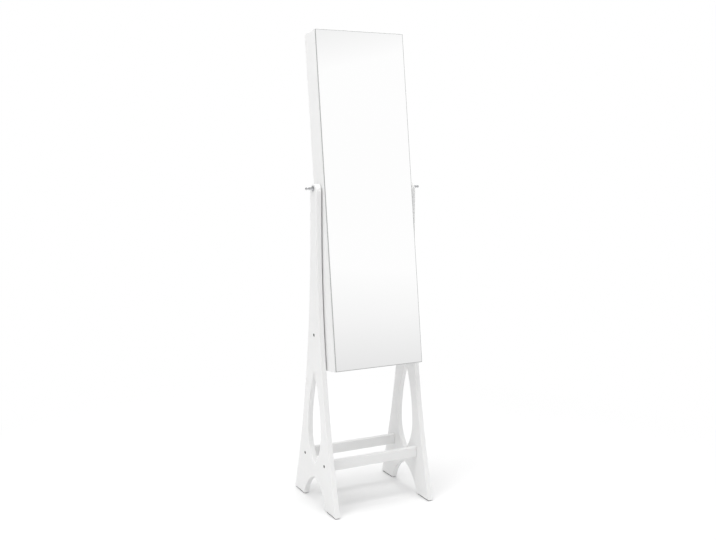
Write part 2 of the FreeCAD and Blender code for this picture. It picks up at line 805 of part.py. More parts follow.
def roll_section(x, share):
    """One closed section of a padded ring roll: a flat back, short sides and a full round crown."""
    half = size("roll_height") / 2 * share
    depth = size("roll_depth") * share
    cheek = size("roll_cheek") * share
    corners = [Vector(x, 0, -half), Vector(x, 0, half), Vector(x, -cheek, half), Vector(x, -cheek, -half)]
    crown = Part.Arc(corners[2], Vector(x, -depth, 0), corners[3])
    edges = [Part.LineSegment(corners[0], corners[1]).toShape(),
             Part.LineSegment(corners[1], corners[2]).toShape(),
             crown.toShape(),
             Part.LineSegment(corners[3], corners[0]).toShape()]
    return Part.Wire(edges)


def ring_cushions():
    """Padded rolls, one above the other; rings are pushed into the gaps between them."""
    half = size("cabinet_width") / 2 - size("board") - size("roll_end_gap")
    right = [(half - size("roll_end_round"), 1),
             (half - size("roll_shoulder_inset"), size("roll_shoulder_draw")),
             (half, size("roll_end_draw"))]
    stations = [(-x, share) for x, share in reversed(right)] + right
    roll = Part.makeLoft([roll_section(x, share) for x, share in stations], True, True)
    pitch = size("roll_height") + size("roll_gap")
    back = size("cabinet_rear") - size("back_thickness") - size("lining_thickness")
    top = size("shelf_one_level") - size("shelf_thickness") - size("roll_gap")
    rolls = []
    for number in range(SHELF_ROLLS):
        one = roll.copy()
        one.translate(Vector(0, back - size("running_gap"), top - size("roll_height") / 2 - number * pitch))
        rolls.append(one)
    cushions = doc.addObject("Part::Feature", "Cushions")
    cushions.Shape = Part.makeCompound(rolls)
    keep(cushions, "ring_cushions", CABINET)


def earring_holder():
    """Four velvet-covered slats on two posts; hook and clip earrings hang over them."""
    bars = []
    for number in range(EARRING_BARS):
        rise = "earring_level + %s * earring_bar_pitch" % (number - (EARRING_BARS - 1) / 2)
        bars.append(mid_box("2 * earring_bar_half", "earring_bar_thickness", "earring_bar_height",
                            (0, "earring_face - earring_bar_thickness / 2", rise)))
    keep(group(bars), "earring_bars", CABINET)
    height = "%d * earring_bar_pitch + earring_bar_height" % (EARRING_BARS - 1)
    posts = []
    for side in ("-", "+"):
        across = "0 %s (earring_bar_half - earring_post_inset - earring_post_width / 2)" % side
        posts.append(mid_box("earring_post_width", "earring_post_depth", height,
                             (across, "lining_face - earring_post_depth / 2", "earring_level")))
    keep(group(posts), "earring_posts", CABINET)


def bracelet_holder():
    bar = rod("bracelet_bar_radius", "2 * side_inner - 2 * fit",
              ("fit - side_inner", "bracelet_y", "bracelet_level"), "x")
    keep(bar, "bracelet_bar", CABINET)
    brackets = []
    for way, turn in (("0 -", "x"), ("0 +", "-x")):
        at = ("%s side_inner" % way, "bracelet_y", "bracelet_level")
        bore = rod("bracelet_bar_radius + fit", "bracelet_bracket_length", at, turn)
        brackets.append(cut(rod("bracelet_bracket_radius", "bracelet_bracket_length", at, turn), [bore]))
    keep(group(brackets), "bracelet_brackets", CABINET)


CATCH_SEATS = ("inner_top", "shelf_four_level - shelf_thickness")


def strike_screws(clearance=0):
    """One screw in the middle of each strike plate, into the back of the door."""
    return [screw(("catch_offset", "door_back + strike_thickness", "%s - catch_height / 2" % seat), "-y",
                  clearance) for seat in CATCH_SEATS]


def catches():
    """A magnetic catch under the top board and one under the lowest shelf, with the door's strikes."""
    housings = []
    magnets = []
    plates = []
    for seat in CATCH_SEATS:
        middle = "%s - catch_height / 2" % seat
        housing_y = "box_front + catch_setback + catch_depth / 2"
        housing = mid_box("catch_width", "catch_depth", "catch_height", ("catch_offset", housing_y, middle))
        magnet_y = "box_front + catch_setback - magnet_reach"
        pocket = box("magnet_width + 2 * fit", "catch_depth", "magnet_height + 2 * fit",
                     ("catch_offset - magnet_width / 2 - fit", magnet_y,
                      "%s - magnet_height / 2 - fit" % middle))
        housings.append(cut(housing, [pocket]))
        magnets.append(box("magnet_width", "catch_depth", "magnet_height",
                           ("catch_offset - magnet_width / 2", magnet_y,
                            "%s - magnet_height / 2" % middle)))
        plate = mid_box("strike_width", "strike_thickness", "strike_height",
                        ("catch_offset", "door_back + strike_thickness / 2", middle))
        plates.append(cut(plate, strike_screws("screw_clearance")))
    keep(group(housings), "catch_housings", CABINET)
    keep(group(magnets), "catch_magnets", CABINET)
    keep(group(plates), "strike_plates", CABINET)
    keep(group(strike_screws()), "strike_screws", CABINET)


# ---------------------------------------------------------------- door

def hinge_segment(number, radius, level):
    """One of the knuckle's short barrels, counted from the bottom."""
    share = "(hinge_height + knuckle_gap) / %d" % KNUCKLES
    low = "%s - hinge_height / 2 + %d * %s" % (level, number, share)
    return rod(radius, "%s - knuckle_gap" % share, ("hinge_x", "hinge_y", low)), low, share


def hinge_leaves(carrier):
    sign = "+" if carrier == "cabinet" else "-"
    first = 0 if carrier == "cabinet" else 1
    leaves = []
    for level in hinge_levels():
        near = "hinge_y + leaf_gap / 2" if sign == "+" else "hinge_y - leaf_gap / 2 - leaf_thickness"
        plates = [box("leaf_width", "leaf_thickness", "hinge_height",
                      ("side_outer - leaf_width", near, "%s - hinge_height / 2" % level))]
        for number in range(first, KNUCKLES, 2):
            barrel, low, share = hinge_segment(number, "knuckle_radius", level)
            plates.append(barrel)
            plates.append(box("hinge_x - side_outer", "leaf_thickness", "%s - knuckle_gap" % share,
                              ("side_outer", near, low)))
        bore = rod("pin_radius + pin_clearance", "hinge_height",
                   ("hinge_x", "hinge_y", "%s - hinge_height / 2" % level))
        screw_seats = hinge_screws(carrier, level, "screw_clearance")
        leaves.append(cut(fuse(plates), [bore] + screw_seats))
    keep(group(leaves), "hinge_leaves_" + carrier, CABINET)


def hinge_hardware():
    pins = []
    for level in hinge_levels():
        shaft = rod("pin_radius", "hinge_height + pin_head_height",
                    ("hinge_x", "hinge_y", "%s - hinge_height / 2" % level))
        head = rod("pin_head_radius", "pin_head_height",
                   ("hinge_x", "hinge_y", "%s + hinge_height / 2" % level))
        pins.append(fuse([shaft, head]))
    keep(group(pins), "hinge_pins", CABINET)
    for carrier in ("cabinet", "door"):
        screws = []
        for level in hinge_levels():
            screws += hinge_screws(carrier, level, 0)
        keep(group(screws), "hinge_screws_" + carrier, CABINET)


def door():
    height = "height_above_pivot + height_below_pivot"
    middle = "(height_above_pivot - height_below_pivot) / 2"
    slab = mid_box("cabinet_width", "door_thickness", height,
                   (0, "door_back - door_thickness / 2", middle))
    keep(cut(slab, hinge_mortises("door") + strike_screws("screw_clearance")), "door_panel", CABINET)
    glass_y = "0 - mirror_front + mirror_thickness / 2"
    keep(mid_box("cabinet_width - 2 * mirror_inset", "mirror_thickness",
                 "%s - 2 * mirror_inset" % height, (0, glass_y, middle)), "mirror_glass", CABINET)
    tape_y = "0 - mirror_front + mirror_thickness + adhesive_thickness / 2"
    strips = []
    for way in (-1, 0, 1):
        across = "%d * (side_outer - adhesive_inset - adhesive_width / 2)" % way
        strips.append(mid_box("adhesive_width", "adhesive_thickness", "%s - 2 * adhesive_inset" % height,
                              (across, tape_y, middle)))
    keep(group(strips), "mirror_adhesive", CABINET)


# ---------------------------------------------------------------- assembly

for side_name in SIDES:
    side_panel(side_name)
for stretcher_name in STRETCHERS:
    stretcher(stretcher_name)
stand_fasteners()
foot_pads()
pivot_bushes()
for side_name in SIDES:
    tilt_knob(side_name)
pivot_seats()
cabinet_sides()
cabinet_ends()
backs()
shelves()
necklace_hanger()
ring_cushions()
earring_holder()
bracelet_holder()
catches()
hinge_leaves("cabinet")
hinge_leaves("door")
hinge_hardware()
door()
doc.recompute()

for thing in doc.Objects:
    if "Invalid" in thing.State or "Error" in thing.State:
        raise RuntimeError("%s (%s) failed: %s" % (thing.Label, thing.Name, thing.State))
for node in nodes:
    if node.Shape.isNull() or not node.Shape.isValid():
        raise RuntimeError("%s has no valid shape" % node.Label)

os.makedirs(NODES_FOLDER, exist_ok=True)
for node in nodes:
    node.Shape.exportStep(os.path.join(NODES_FOLDER, node.Label + ".step"))
    print("%-24s solids %2d  volume %10.1f mm3" % (node.Label, len(node.Shape.Solids), node.Shape.Volume))
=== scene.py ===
"""The finish of a standing jewelry mirror cabinet: white lacquered boards, a frameless mirror door,
turned chrome tilt knobs and a black velvet interior. Metres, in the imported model's own frame.
"""

import json
import math

import bmesh
import bpy
from mathutils import Euler, Matrix, Vector


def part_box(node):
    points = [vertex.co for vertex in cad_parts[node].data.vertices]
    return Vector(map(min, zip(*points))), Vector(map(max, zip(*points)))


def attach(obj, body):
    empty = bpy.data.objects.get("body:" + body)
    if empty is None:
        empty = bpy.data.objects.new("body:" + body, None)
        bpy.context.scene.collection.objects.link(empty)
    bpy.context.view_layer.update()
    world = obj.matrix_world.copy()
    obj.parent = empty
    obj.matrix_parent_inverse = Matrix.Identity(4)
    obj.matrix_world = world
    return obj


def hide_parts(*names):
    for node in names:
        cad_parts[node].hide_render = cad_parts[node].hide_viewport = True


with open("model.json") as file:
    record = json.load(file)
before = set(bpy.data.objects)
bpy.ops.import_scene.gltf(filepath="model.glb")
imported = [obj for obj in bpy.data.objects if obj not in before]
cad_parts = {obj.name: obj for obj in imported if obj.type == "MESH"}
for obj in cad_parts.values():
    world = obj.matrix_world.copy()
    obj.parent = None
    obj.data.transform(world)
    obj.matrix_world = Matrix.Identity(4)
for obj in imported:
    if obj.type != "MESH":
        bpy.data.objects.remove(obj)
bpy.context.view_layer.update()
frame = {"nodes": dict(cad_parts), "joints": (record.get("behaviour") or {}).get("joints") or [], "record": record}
NODES = frame["nodes"]
JOINTS = {joint["name"]: joint for joint in frame["joints"]}

PIVOT = Vector(JOINTS["cabinet_tilt"]["pos_m"])
UP_CABINET = Vector(JOINTS["door_swing"]["axis"])
REST_TILT = math.atan2(UP_CABINET.y, UP_CABINET.z)
LEAN = Matrix.Translation(PIVOT) @ Matrix.Rotation(-REST_TILT, 4, "X")

MM = 0.001
WHITE = (1.0, 1.0, 1.0, 1.0)


# ---------------------------------------------------------------- camera, floor and light

CAMERA_PLACE = (-1.3889, -2.7052, 1.2008)
CAMERA_TURN = 26.819
CAMERA_DROP = 7.844
CAMERA_ROLL = 0.126
FOCAL_LENGTH = 46.02
SENSOR_WIDTH = 36.0

FLOOR_SIZE = 60.0
WORLD_LIGHT = 0.70
KEY_POWER = 52.0
FILL_POWER = 5.0
OVERHEAD_POWER = 86.0
# Name, place, aim, width, height and power of each soft light.
LIGHTS = [("key_left", (-3.0, -1.0, 3.5), (0.0, 0.0, 0.7), 2.4, 2.4, KEY_POWER),
          ("fill_front", (0.4, -4.2, 2.0), (0.0, 0.0, 0.8), 3.0, 2.4, FILL_POWER),
          ("overhead", (0.05, -0.1, 4.4), (0.0, 0.0, 0.0), 2.1, 2.1, OVERHEAD_POWER)]
# What glossy surfaces see, from straight down (0) over the horizon (0.5) to straight up (1).
GLOSS_BANDS = [(0.30, 0.36), (0.47, 0.55), (0.505, 0.75), (0.53, 0.845), (0.54, 0.87), (0.56, 0.92),
               (0.58, 0.95), (0.60, 0.99), (0.645, 0.99), (0.66, 0.93), (0.685, 0.81), (0.72, 0.70),
               (0.78, 0.20), (0.86, 0.28), (0.93, 0.95)]
GLOSS_STRENGTH = 1.1
GLOSS_SLOPE = 0.3
GLOSS_MIDDLE = 0.46
FLOOR_TONE = 0.78
FLOOR_LIFT = 0.88
FLOOR_FADE_START = 0.75
FLOOR_FADE_END = 1.7


def make_camera():
    camera = bpy.data.cameras.new("camera")
    camera.lens = FOCAL_LENGTH
    camera.sensor_width = SENSOR_WIDTH
    camera.clip_end = 200.0
    holder = bpy.data.objects.new("camera", camera)
    bpy.context.scene.collection.objects.link(holder)
    holder.location = CAMERA_PLACE
    holder.rotation_euler = Euler((math.radians(90.0 - CAMERA_DROP), math.radians(-CAMERA_ROLL),
                                   math.radians(-CAMERA_TURN)), "XYZ")
    bpy.context.scene.camera = holder


def area_light(name, place, target, width, height, power):
    """A soft rectangular light that shines from one place towards another."""
    light = bpy.data.lights.new(name, "AREA")
    light.shape = "RECTANGLE"
    light.size = width
    light.size_y = height
    light.energy = power
    holder = bpy.data.objects.new(name, light)
    bpy.context.scene.collection.objects.link(holder)
    holder.location = place
    aim = Vector(target) - Vector(place)
    holder.rotation_euler = aim.to_track_quat("-Z", "Y").to_euler()
    holder.visible_glossy = False
    holder.visible_camera = False


def make_lights():
    for name, place, target, width, height, power in LIGHTS:
        area_light(name, place, target, width, height, power)


# ---------------------------------------------------------------- node helpers

def new_material(name):
    material = bpy.data.materials.new(name)
    material.use_nodes = True
    tree = material.node_tree
    return material, tree, tree.nodes["Principled BSDF"]


def add(tree, kind, **values):
    """Adds a node and sets its properties."""
    node = tree.nodes.new(kind)
    for name, value in values.items():
        setattr(node, name, value)
    return node


def coordinates(tree, scale=(1.0, 1.0, 1.0)):
    """Object coordinates in metres, stretched where a texture has a direction."""
    place = add(tree, "ShaderNodeTexCoord")
    mapping = add(tree, "ShaderNodeMapping")
    mapping.inputs["Scale"].default_value = scale
    tree.links.new(place.outputs["Object"], mapping.inputs["Vector"])
    return mapping.outputs["Vector"]


def noise(tree, vector, scale, detail=3.0, roughness=0.5, distortion=0.0):
    node = add(tree, "ShaderNodeTexNoise")
    node.inputs["Scale"].default_value = scale
    node.inputs["Detail"].default_value = detail
    node.inputs["Roughness"].default_value = roughness
    node.inputs["Distortion"].default_value = distortion
    tree.links.new(vector, node.inputs["Vector"])
    return node.outputs["Fac"]


def ramp(tree, fac, stops):
    """A colour ramp from a list of (position, colour)."""
    node = tree.nodes.new("ShaderNodeValToRGB")
    band = node.color_ramp
    while len(band.elements) < len(stops):
        band.elements.new(0.5)
    for element, (position, colour) in zip(band.elements, stops):
        element.position = position
        element.color = (*colour, 1.0)
    tree.links.new(fac, node.inputs["Fac"])
    return node.outputs["Color"]


def mapped(tree, value, source, target=(0.0, 1.0), curve="LINEAR"):
    """Maps a value from one range onto another."""
    node = add(tree, "ShaderNodeMapRange", interpolation_type=curve)
    node.inputs["From Min"].default_value, node.inputs["From Max"].default_value = source
    node.inputs["To Min"].default_value, node.inputs["To Max"].default_value = target
    tree.links.new(value, node.inputs["Value"])
    return node.outputs["Result"]


def spread(tree, fac, low, high):
    """Maps a texture's middle range onto a range of plain values."""
    return mapped(tree, fac, (0.3, 0.7), (low, high))


def combined(tree, operation, first, second, clamp=False):
    """Two values joined by an arithmetic operation."""
    node = add(tree, "ShaderNodeMath", operation=operation, use_clamp=clamp)
    tree.links.new(first, node.inputs[0])
    tree.links.new(second, node.inputs[1])
    return node.outputs["Value"]


def mixed(tree, fac, first, second):
    """One shader where the factor is 0 and another where it is 1."""
    node = add(tree, "ShaderNodeMixShader")
    tree.links.new(fac, node.inputs["Fac"])
    tree.links.new(first, node.inputs[1])
    tree.links.new(second, node.inputs[2])
    return node.outputs["Shader"]


def bump(tree, height, strength, distance, normal=None):
    node = tree.nodes.new("ShaderNodeBump")
    node.inputs["Strength"].default_value = strength
    node.inputs["Distance"].default_value = distance
    tree.links.new(height, node.inputs["Height"])
    if normal is not None:
        tree.links.new(normal, node.inputs["Normal"])
    return node.outputs["Normal"]


# ---------------------------------------------------------------- materials

LACQUER_TONE = 0.86
VELVET_COLOUR = (0.012, 0.011, 0.013)


def lacquer(name, tone):
    """Satin white lacquer on fibreboard: a fine orange peel and a barely uneven sheen."""
    material, tree, shader = new_material(name)
    vector = coordinates(tree)
    cloud = noise(tree, vector, 5.0, 4.0)
    tint = ramp(tree, cloud, [(0.3, (tone * 0.985, tone * 0.985, tone * 0.98)),
                              (0.7, (tone, tone, tone * 0.998))])
    tree.links.new(tint, shader.inputs["Base Color"])
    tree.links.new(spread(tree, noise(tree, vector, 26.0, 3.0), 0.36, 0.46), shader.inputs["Roughness"])
    peel = bump(tree, noise(tree, vector, 900.0, 2.0), 0.12, 0.00006)
    waves = bump(tree, noise(tree, vector, 60.0, 2.0), 0.10, 0.0002, peel)
    tree.links.new(waves, shader.inputs["Normal"])
    shader.inputs["Specular IOR Level"].default_value = 0.4
    return material


def velvet(name, colour):
    """Short-pile black velvet with a painted sheen: the base colour is lighter in soft patches where the pile
    leans.
    """
    material, tree, shader = new_material(name)
    vector = coordinates(tree)
    pile_lean_and_sheen = noise(tree, coordinates(tree, (1.0, 1.0, 0.35)), 18.0, 3.0, 0.6, 0.4)
    # Painted sheen: the colour ramp lightens the base colour up to threefold where this noise is high.
    tint = ramp(tree, pile_lean_and_sheen, [(0.35, colour), (0.6, tuple(c * 1.9 for c in colour)),
                             (0.8, tuple(c * 3.0 for c in colour))])
    tree.links.new(tint, shader.inputs["Base Color"])
    shader.inputs["Roughness"].default_value = 0.95
    shader.inputs["Sheen Weight"].default_value = 0.75
    shader.inputs["Sheen Roughness"].default_value = 0.35
    shader.inputs["Sheen Tint"].default_value = (0.55, 0.55, 0.6, 1.0)
    shader.inputs["Specular IOR Level"].default_value = 0.15
    pile = bump(tree, noise(tree, vector, 2600.0, 2.0, 0.7), 0.5, 0.0004)
    tree.links.new(bump(tree, pile_lean_and_sheen, 0.25, 0.001, pile), shader.inputs["Normal"])
    return material


def plated(name, colour, roughness, streak=0.0):
    """Plated or polished metal with a faint haze, and streaks along it where it was turned or drawn."""
    material, tree, shader = new_material(name)
    haze = noise(tree, coordinates(tree), 350.0, 3.0)
    tint = ramp(tree, haze, [(0.3, tuple(c * 0.93 for c in colour)), (0.7, colour)])
    tree.links.new(tint, shader.inputs["Base Color"])
    shader.inputs["Metallic"].default_value = 1.0
    tree.links.new(spread(tree, haze, roughness * 0.75, roughness * 1.3), shader.inputs["Roughness"])
    if streak:
        tree.links.new(bump(tree, haze, streak, 0.00005), shader.inputs["Normal"])
    return material


def silvering():
    """The silvered back of the mirror as it is seen through clear float glass."""
    material, tree, shader = new_material("mirror_silver")
    vector = coordinates(tree)
    faint = ramp(tree, noise(tree, vector, 1.3, 2.0),
                 [(0.3, (0.983, 0.983, 0.983)), (0.7, (0.99, 0.99, 0.99))])
    tree.links.new(faint, shader.inputs["Base Color"])
    shader.inputs["Metallic"].default_value = 1.0
    tree.links.new(spread(tree, noise(tree, vector, 9.0, 2.0), 0.0, 0.006), shader.inputs["Roughness"])
    return material


def glass_edge():
    """The ground and polished rim of the glass: a pale neutral grey."""
    material, tree, shader = new_material("mirror_rim")
    vector = coordinates(tree)
    tint = ramp(tree, noise(tree, vector, 240.0, 3.0),
                [(0.3, (0.395, 0.405, 0.40)), (0.7, (0.44, 0.45, 0.445))])
    tree.links.new(tint, shader.inputs["Base Color"])
    shader.inputs["Roughness"].default_value = 0.12
    shader.inputs["Specular IOR Level"].default_value = 0.35
    return material


def moulded(name, colour, roughness, grain=500.0, depth=0.00008):
    """Moulded plastic or rubber with a fine skin."""
    material, tree, shader = new_material(name)
    vector = coordinates(tree)
    skin = noise(tree, vector, grain, 3.0)
    tint = ramp(tree, noise(tree, vector, 40.0, 3.0),
                [(0.3, tuple(c * 0.88 for c in colour)), (0.7, colour)])
    tree.links.new(tint, shader.inputs["Base Color"])
    tree.links.new(spread(tree, skin, roughness * 0.85, roughness * 1.12), shader.inputs["Roughness"])
    tree.links.new(bump(tree, skin, 0.35, depth), shader.inputs["Normal"])
    return material


def beech():
    """Bare beech: pale, with short fine rays along the dowel."""
    material, tree, shader = new_material("beech")
    grain = noise(tree, coordinates(tree, (0.08, 1.0, 1.0)), 700.0, 4.0)
    tint = ramp(tree, grain, [(0.35, (0.50, 0.33, 0.19)), (0.65, (0.68, 0.49, 0.31))])
    tree.links.new(tint, shader.inputs["Base Color"])
    tree.links.new(spread(tree, grain, 0.5, 0.7), shader.inputs["Roughness"])
    tree.links.new(bump(tree, grain, 0.3, 0.0001), shader.inputs["Normal"])
    return material


MATERIALS = {
    "white_lacquer": lacquer("white_lacquer", LACQUER_TONE),
    "black_velvet": velvet("black_velvet", VELVET_COLOUR),
    "chrome_metal": plated("chrome_metal", (0.62, 0.625, 0.64), 0.07),
    "zinc_steel": plated("zinc_steel", (0.60, 0.61, 0.63), 0.26, 0.2),
    "dark_steel": plated("dark_steel", (0.045, 0.042, 0.04), 0.34, 0.2),
    "brass_metal": plated("brass_metal", (0.72, 0.52, 0.22), 0.24, 0.2),
    "white_nylon": moulded("white_nylon", (0.80, 0.80, 0.78), 0.42),
    "dark_rubber": moulded("dark_rubber", (0.022, 0.022, 0.023), 0.75, 900.0),
    "foam_tape": moulded("foam_tape", (0.72, 0.72, 0.70), 0.8, 1500.0),
    "beech": beech(),
    "mirror_glass": silvering(),
    "mirror_rim": glass_edge(),
}


# ---------------------------------------------------------------- making pieces

BODY_OF = {node: body for body, nodes in frame["record"]["behaviour"]["bodies"].items()
           for node in nodes}
SLOT_OF = {part["node"]: part["material_slot"] for part in frame["record"]["subparts"]}


def finish_piece(obj, node, materials=()):
    """Paints a new piece, lets it ride on its node's body and stand for that node."""
    slot = SLOT_OF[node]
    for name in materials or (slot,):
        obj.data.materials.append(MATERIALS[name])
    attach(obj, BODY_OF[node])
    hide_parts(node)
    return obj


def smooth(obj, angle=35.0):
    """Smooth shading up to an angle, with broad flat faces kept flat beside rounded edges."""
    mesh = obj.data
    mesh.polygons.foreach_set("use_smooth", [True] * len(mesh.polygons))
    mesh.set_sharp_from_angle(angle=math.radians(angle))
    weighted = obj.modifiers.new("even_normals", "WEIGHTED_NORMAL")
    weighted.keep_sharp = True
    weighted.weight = 100
    return obj


def object_from(bm, name):
    mesh = bpy.data.meshes.new(name)
    bm.to_mesh(mesh)
    bm.free()
    obj = bpy.data.objects.new(name, mesh)
    bpy.context.scene.collection.objects.link(obj)
    return obj


def rounded(node, radius, segments=3, shortest=2.5 * MM):
    """The node's solid with its flat faces made whole and its outer edges softly rounded."""
    bm = bmesh.new()
    bm.from_mesh(NODES[node].data)
    bmesh.ops.remove_doubles(bm, verts=bm.verts, dist=1e-6)
    bmesh.ops.dissolve_limit(bm, angle_limit=math.radians(0.05), verts=bm.verts, edges=bm.edges)
    edges = [edge for edge in bm.edges if len(edge.link_faces) == 2
             and edge.calc_length() > shortest and edge.calc_face_angle() > math.radians(40.0)]
    bmesh.ops.bevel(bm, geom=edges, offset=radius, offset_type="OFFSET", segments=segments,
                    profile=0.5, affect="EDGES", clamp_overlap=True)
    return smooth(finish_piece(object_from(bm, node + "_finished"), node))


def solids(node, place=Matrix()):
    """Lowest and highest corner of each separate solid of a node, in the frame of a place."""
    bm = bmesh.new()
    bm.from_mesh(NODES[node].data)
    bmesh.ops.remove_doubles(bm, verts=bm.verts, dist=1e-6)
    back = place.inverted()
    seen = set()
    found = []
    for first in bm.verts:
        if first in seen:
            continue
        seen.add(first)
        waiting = [first]
        points = []
        while waiting:
            vert = waiting.pop()
            points.append(back @ vert.co)
            for edge in vert.link_edges:
                other = edge.other_vert(vert)
                if other not in seen:
                    seen.add(other)
                    waiting.append(other)
        found.append((Vector(map(min, *points)), Vector(map(max, *points))))
    bm.free()
    return found


# Ring forms: how far a ring's edge stands from its axis at an angle, for a radius of one.
def round_form(angle):
    return 1.0


def hex_form(angle):
    return math.cos(math.pi / 6.0) / math.cos((angle % (math.pi / 3.0)) - math.pi / 6.0)


def cross_form(angle):
    return 1.0 if abs((angle + math.pi / 4.0) % (math.pi / 2.0) - math.pi / 4.0) < 0.2 else 0.36


def lathe(bm, profile, place, steps=48, ring=False):
    """A turned solid about +X from (distance along, radius, form) points in millimetres."""
    rings = []
    for along, radius, *form in profile:
        if radius == 0.0:
            rings.append([bm.verts.new(place @ Vector((along * MM, 0.0, 0.0)))])
            continue
        shape = form[0] if form else round_form
        corners = []
        for step in range(steps):
            angle = 2.0 * math.pi * step / steps
            reach = radius * MM * shape(angle)
            corners.append(bm.verts.new(place @ Vector((along * MM, reach * math.cos(angle),
                                                        reach * math.sin(angle)))))
        rings.append(corners)
    following_rings = rings[1:] + (rings[:1] if ring else [])
    for first, second in zip(rings, following_rings):
        for step in range(steps):
            after = (step + 1) % steps
            corners = [first[step % len(first)], first[after % len(first)],
                       second[after % len(second)], second[step % len(second)]]
            unique = list(dict.fromkeys(corners))
            if len(unique) > 2:
                bm.faces.new(unique)


def aimed(point, direction):
    """A place at a point whose +X runs along a direction."""
    turn = Vector((1.0, 0.0, 0.0)).rotation_difference(Vector(direction))
    return Matrix.Translation(point) @ turn.to_matrix().to_4x4()


def arc(centre, radius, start, end, count):
    """Profile points along an arc, by angles in degrees from the far end of the axis."""
    points = []
    for number in range(count + 1):
        angle = math.radians(start + (end - start) * number / count)
        across = radius * math.sin(angle)
        points.append((centre + radius * math.cos(angle), across if across > 1e-6 else 0.0))
    return points


def turned_piece(node, profile, places, steps=48, ring=False, angle=35.0):
    bm = bmesh.new()
    for place in places:
        lathe(bm, profile, place, steps, ring)
    bmesh.ops.recalc_face_normals(bm, faces=bm.faces)
    return smooth(finish_piece(object_from(bm, node + "_turned"), node), angle)


# ---------------------------------------------------------------- boards and fittings

BOARD_EDGE = 1.6 * MM
CABINET_EDGE = 1.0 * MM
THIN_EDGE = 0.7 * MM

EDGES = {
    BOARD_EDGE: ["side_panel_left", "side_panel_right", "lower_stretcher_front",
                 "lower_stretcher_rear", "upper_crossbar", "hook_rail"],
    CABINET_EDGE: ["cabinet_side_left", "cabinet_side_right", "cabinet_top", "cabinet_bottom",
                   "door_panel", "shelf_one", "shelf_two", "shelf_three", "shelf_four",
                   "shelf_lips", "earring_posts", "earring_bars"],
    THIN_EDGE: ["cabinet_back", "back_lining", "catch_housings", "foot_pads"],
    0.25 * MM: ["hinge_leaves_cabinet", "hinge_leaves_door", "strike_plates", "catch_magnets"],
}


def boards():
    for radius, nodes in EDGES.items():
        for node in nodes:
            rounded(node, radius)


# Profiles are (distance along, radius) in millimetres, with a form where the ring isn't round.
BOLT = [(2.0, 0.0), (1.9, 1.7, hex_form), (0.3, 2.3, hex_form), (0.1, 2.7), (0.1, 4.5), (0.35, 5.1),
        (0.8, 5.4), (1.4, 5.5), (3.7, 5.5), (4.0, 5.2), (4.0, 3.0), (59.0, 3.0), (60.0, 2.2), (60.0, 0.0)]
PEG = [(0.0, 0.0), (0.0, 1.5), (0.3, 1.8), (8.0, 1.8), (8.0, 4.1), (8.4, 4.5), (9.0, 4.4), (9.5, 3.6),
       (10.2, 2.4), (11.4, 1.9), (14.0, 1.8), (28.2, 1.8)] + arc(32.0, 3.6, 148.0, 0.0, 12)
PIN = [(0.0, 0.0), (0.0, 0.8), (0.4, 1.2), (40.0, 1.2), (40.0, 2.0), (40.15, 2.2), (40.5, 2.1),
       (40.85, 1.5), (41.0, 0.7), (41.0, 0.0)]
SCREW = [(0.75, 0.0), (0.7, 0.35, cross_form), (0.02, 1.35, cross_form), (0.0, 1.7), (0.0, 2.3),
         (0.12, 2.4), (1.2, 1.2), (6.4, 1.2), (7.5, 0.2), (7.5, 0.0)]
BRACKET = [(0.0, 8.1), (0.0, 11.4), (0.6, 12.0), (8.8, 12.0), (9.7, 11.5), (10.0, 10.6), (10.0, 8.1)]
WASHER = [(0.0, 3.0), (0.0, 8.5), (0.35, 9.0), (1.4, 9.0), (1.85, 8.7), (2.0, 8.2), (2.0, 3.0)]
KNOB = [(0.0, 0.0), (0.0, 6.2), (0.25, 6.5), (1.5, 6.5), (1.85, 6.3), (2.1, 5.8), (2.5, 5.2), (3.2, 4.9),
        (4.4, 4.75), (4.6, 4.5), (5.0, 4.5), (5.2, 4.75), (7.5, 4.65), (10.2, 4.75), (10.4, 4.5),
        (10.8, 4.5), (11.0, 4.75), (12.2, 4.9), (12.8, 4.6), (13.7, 3.7), (14.6, 2.9), (15.4, 2.6),
        (16.4, 2.5), (17.2, 2.6)] + arc(21.5, 4.5, 144.0, 0.0, 16)


def bolts():
    places = []
    for low, high in solids("stretcher_bolts"):
        outward = 1.0 if low.x > 0.0 else -1.0
        middle = (low + high) / 2.0
        face = high.x if outward > 0.0 else low.x
        places.append(aimed((face, middle.y, middle.z), (-outward, 0.0, 0.0)))
    turned_piece("stretcher_bolts", BOLT, places, angle=28.0)


def knobs():
    for side, outward in (("left", -1.0), ("right", 1.0)):
        for node, profile, ring in (("tilt_knob_" + side, KNOB, False),
                                    ("knob_washer_" + side, WASHER, True)):
            low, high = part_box(node)
            middle = (Vector(low) + Vector(high)) / 2.0
            start = low[0] if outward > 0.0 else high[0]
            turned_piece(node, profile, [aimed((start, middle.y, middle.z), (outward, 0.0, 0.0))],
                         steps=64, ring=ring, angle=50.0)


def along_y(node, way, forward):
    """Places of the node's solids, starting at their front or back end and running the other way."""
    places = []
    for low, high in solids(node, LEAN):
        middle = (low + high) / 2.0
        start = low.y if forward else high.y
        places.append(LEAN @ aimed((middle.x, start, middle.z), way))
    return places


